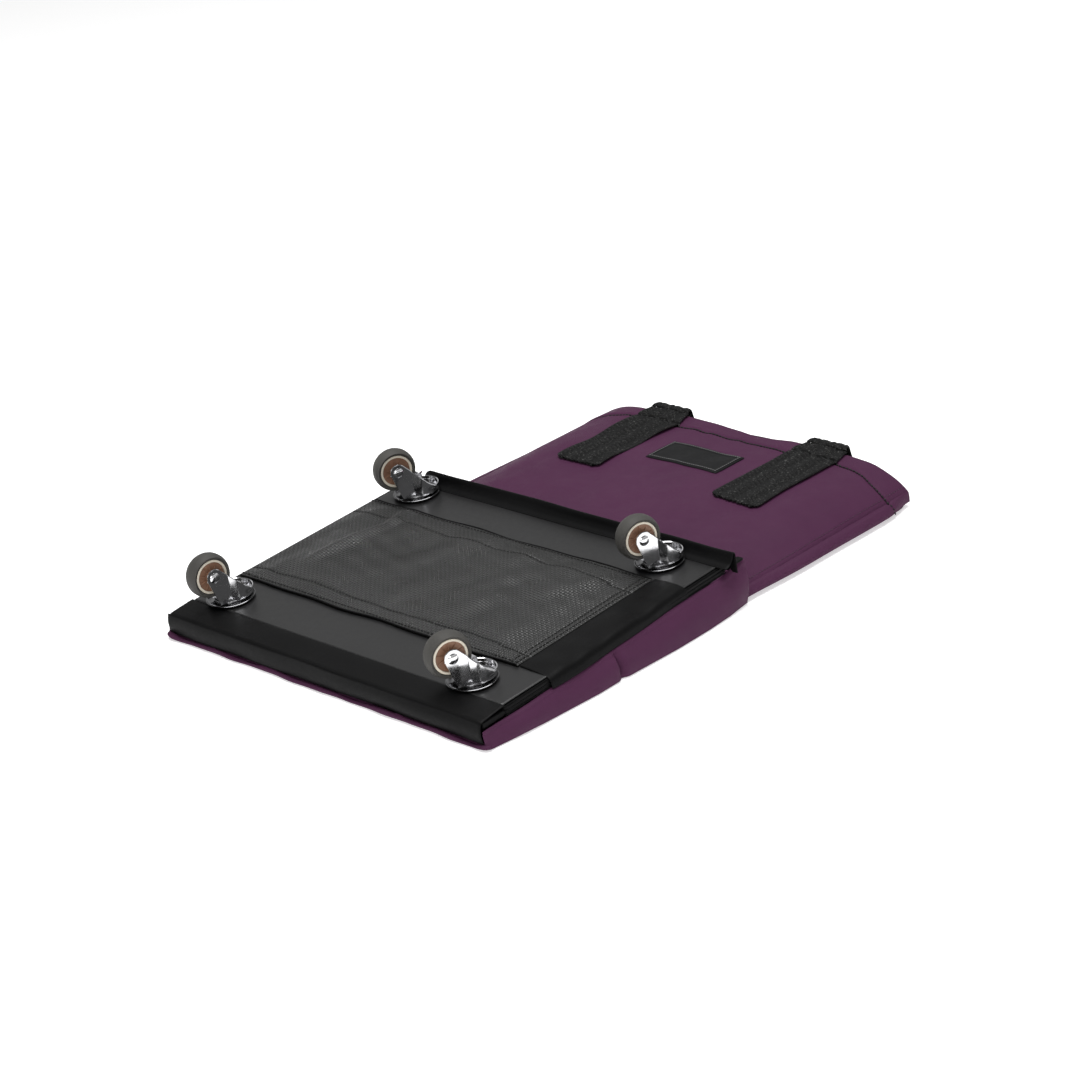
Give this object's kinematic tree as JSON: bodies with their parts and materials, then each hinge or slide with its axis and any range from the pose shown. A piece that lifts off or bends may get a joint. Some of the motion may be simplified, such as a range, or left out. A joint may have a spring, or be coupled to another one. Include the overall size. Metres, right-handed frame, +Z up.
{
  "type": "folded rolling tote bag",
  "caption": "Large woven rolling tote bag lying folded flat, with its wheeled base folded up on top, swivel casters pointing up, and webbing handles at the mouth",
  "frame": {"origin": "on the floor under the middle of the whole object", "axes": "+Y from the bottom edge of the folded bag to its mouth, +X across the bag, +Z up from the floor"},
  "size_m": [0.482, 0.7316, 0.108],
  "materials": {
    "purple": "woven polypropylene, satin",
    "black_vinyl": "smooth coated fabric",
    "rail_coat": "satin coat on pressed steel",
    "woven_black": "woven polypropylene strips, glossy",
    "webbing": "coarse woven webbing",
    "label": "sewn patch, blank",
    "board": "plain stiffening board",
    "chrome": "bright zinc plating",
    "rim_plastic": "moulded",
    "hub_plastic": "moulded",
    "tyre": "rubber"
  },
  "bodies": {
    "bag": {"back_panel": "purple", "front_panel": "purple", "front_mouth_hem": "purple", "back_mouth_hem": "purple", "bottom_hem": "purple", "label_patch": "label", "upper_gusset_left": "purple", "upper_gusset_right": "purple", "lower_gusset_left": "purple", "lower_gusset_right": "purple", "front_strap_left": "webbing", "front_strap_right": "webbing", "back_strap_left": "webbing", "back_strap_right": "webbing"},
    "base": {"base_cover": "black_vinyl", "base_board": "board", "near_wall": "black_vinyl", "near_rail": "rail_coat", "far_rail": "rail_coat", "middle_sleeve": "woven_black", "side_band": "black_vinyl", "far_band": "black_vinyl", "near_left_disc": "chrome", "near_left_race": "chrome", "near_left_kingpin": "chrome", "near_right_disc": "chrome", "near_right_race": "chrome", "near_right_kingpin": "chrome", "far_left_disc": "chrome", "far_left_race": "chrome", "far_left_kingpin": "chrome", "far_right_disc": "chrome", "far_right_race": "chrome", "far_right_kingpin": "chrome"},
    "tuck_upper": {"tucked_fold_upper": "purple"},
    "tuck_lower": {"tucked_fold_lower": "purple"},
    "front_handle_loop": {"front_handle": "webbing"},
    "back_handle_loop": {"back_handle": "webbing"},
    "near_left_swivel": {"near_left_fork": "chrome", "near_left_axle": "chrome"},
    "near_left_wheel": {"near_left_hub": "hub_plastic", "near_left_rim": "rim_plastic", "near_left_tyre": "tyre"},
    "near_right_swivel": {"near_right_fork": "chrome", "near_right_axle": "chrome"},
    "near_right_wheel": {"near_right_hub": "hub_plastic", "near_right_rim": "rim_plastic", "near_right_tyre": "tyre"},
    "far_left_swivel": {"far_left_fork": "chrome", "far_left_axle": "chrome"},
    "far_left_wheel": {"far_left_hub": "hub_plastic", "far_left_rim": "rim_plastic", "far_left_tyre": "tyre"},
    "far_right_swivel": {"far_right_fork": "chrome", "far_right_axle": "chrome"},
    "far_right_wheel": {"far_right_hub": "hub_plastic", "far_right_rim": "rim_plastic", "far_right_tyre": "tyre"}
  },
  "joints": [
    {"name": "base_fold", "type": "hinge", "parent": "bag", "child": "base", "pos_m": [0, -0.35775, 0.005], "axis": [1, 0, 0], "range_deg": [0, 45], "deforming": ["lower_gusset_left", "lower_gusset_right"]},
    {"name": "tuck_upper_swing", "type": "hinge", "parent": "base", "child": "tuck_upper", "pos_m": [0, -0.01122, 0.03931], "axis": [1, 0, 0], "range_deg": [0, 27.9]},
    {"name": "tuck_lower_swing", "type": "hinge", "parent": "bag", "child": "tuck_lower", "pos_m": [0, -0.00725, 0.0285], "axis": [1, 0, 0], "range_deg": [-27.9, 0]},
    {"name": "front_handle_swing", "type": "hinge", "parent": "bag", "child": "front_handle_loop", "pos_m": [0, 0.29425, 0.04087], "axis": [1, 0, 0], "range_deg": [0, 120]},
    {"name": "back_handle_swing", "type": "hinge", "parent": "bag", "child": "back_handle_loop", "pos_m": [0, 0.29345, 0.002], "axis": [1, 0, 0], "range_deg": [0, 72]},
    {"name": "near_left_swivel_turn", "type": "hinge", "parent": "base", "child": "near_left_swivel", "pos_m": [-0.186, -0.30871, 0.03303], "axis": [0, -0.0627, 0.998], "continuous": true},
    {"name": "near_left_wheel_spin", "type": "hinge", "parent": "near_left_swivel", "child": "near_left_wheel", "pos_m": [-0.18849, -0.33118, 0.06769], "axis": [0.9925, -0.1216, -0.0076], "continuous": true},
    {"name": "near_right_swivel_turn", "type": "hinge", "parent": "base", "child": "near_right_swivel", "pos_m": [0.164, -0.30871, 0.03303], "axis": [0, -0.0627, 0.998], "continuous": true},
    {"name": "near_right_wheel_spin", "type": "hinge", "parent": "near_right_swivel", "child": "near_right_wheel", "pos_m": [0.15702, -0.3301, 0.06776], "axis": [0.9397, -0.3413, -0.0215], "continuous": true},
    {"name": "far_left_swivel_turn", "type": "hinge", "parent": "base", "child": "far_left_swivel", "pos_m": [-0.186, -0.04004, 0.04992], "axis": [0, -0.0627, 0.998], "continuous": true},
    {"name": "far_left_wheel_spin", "type": "hinge", "parent": "far_left_swivel", "child": "far_left_wheel", "pos_m": [-0.19397, -0.06104, 0.08467], "axis": [0.9205, -0.39, -0.0245], "continuous": true},
    {"name": "far_right_swivel_turn", "type": "hinge", "parent": "base", "child": "far_right_swivel", "pos_m": [0.164, -0.04004, 0.04992], "axis": [0, -0.0627, 0.998], "continuous": true},
    {"name": "far_right_wheel_spin", "type": "hinge", "parent": "far_right_swivel", "child": "far_right_wheel", "pos_m": [0.1577, -0.06166, 0.08463], "axis": [0.9511, -0.3084, -0.0194], "continuous": true}
  ],
  "couplings": [
    {"joint": "tuck_upper_swing", "follows": "base_fold", "ratio": 0.62},
    {"joint": "tuck_lower_swing", "follows": "base_fold", "ratio": -0.62},
    {"joint": "back_handle_swing", "follows": "front_handle_swing", "ratio": 0.6}
  ]
}
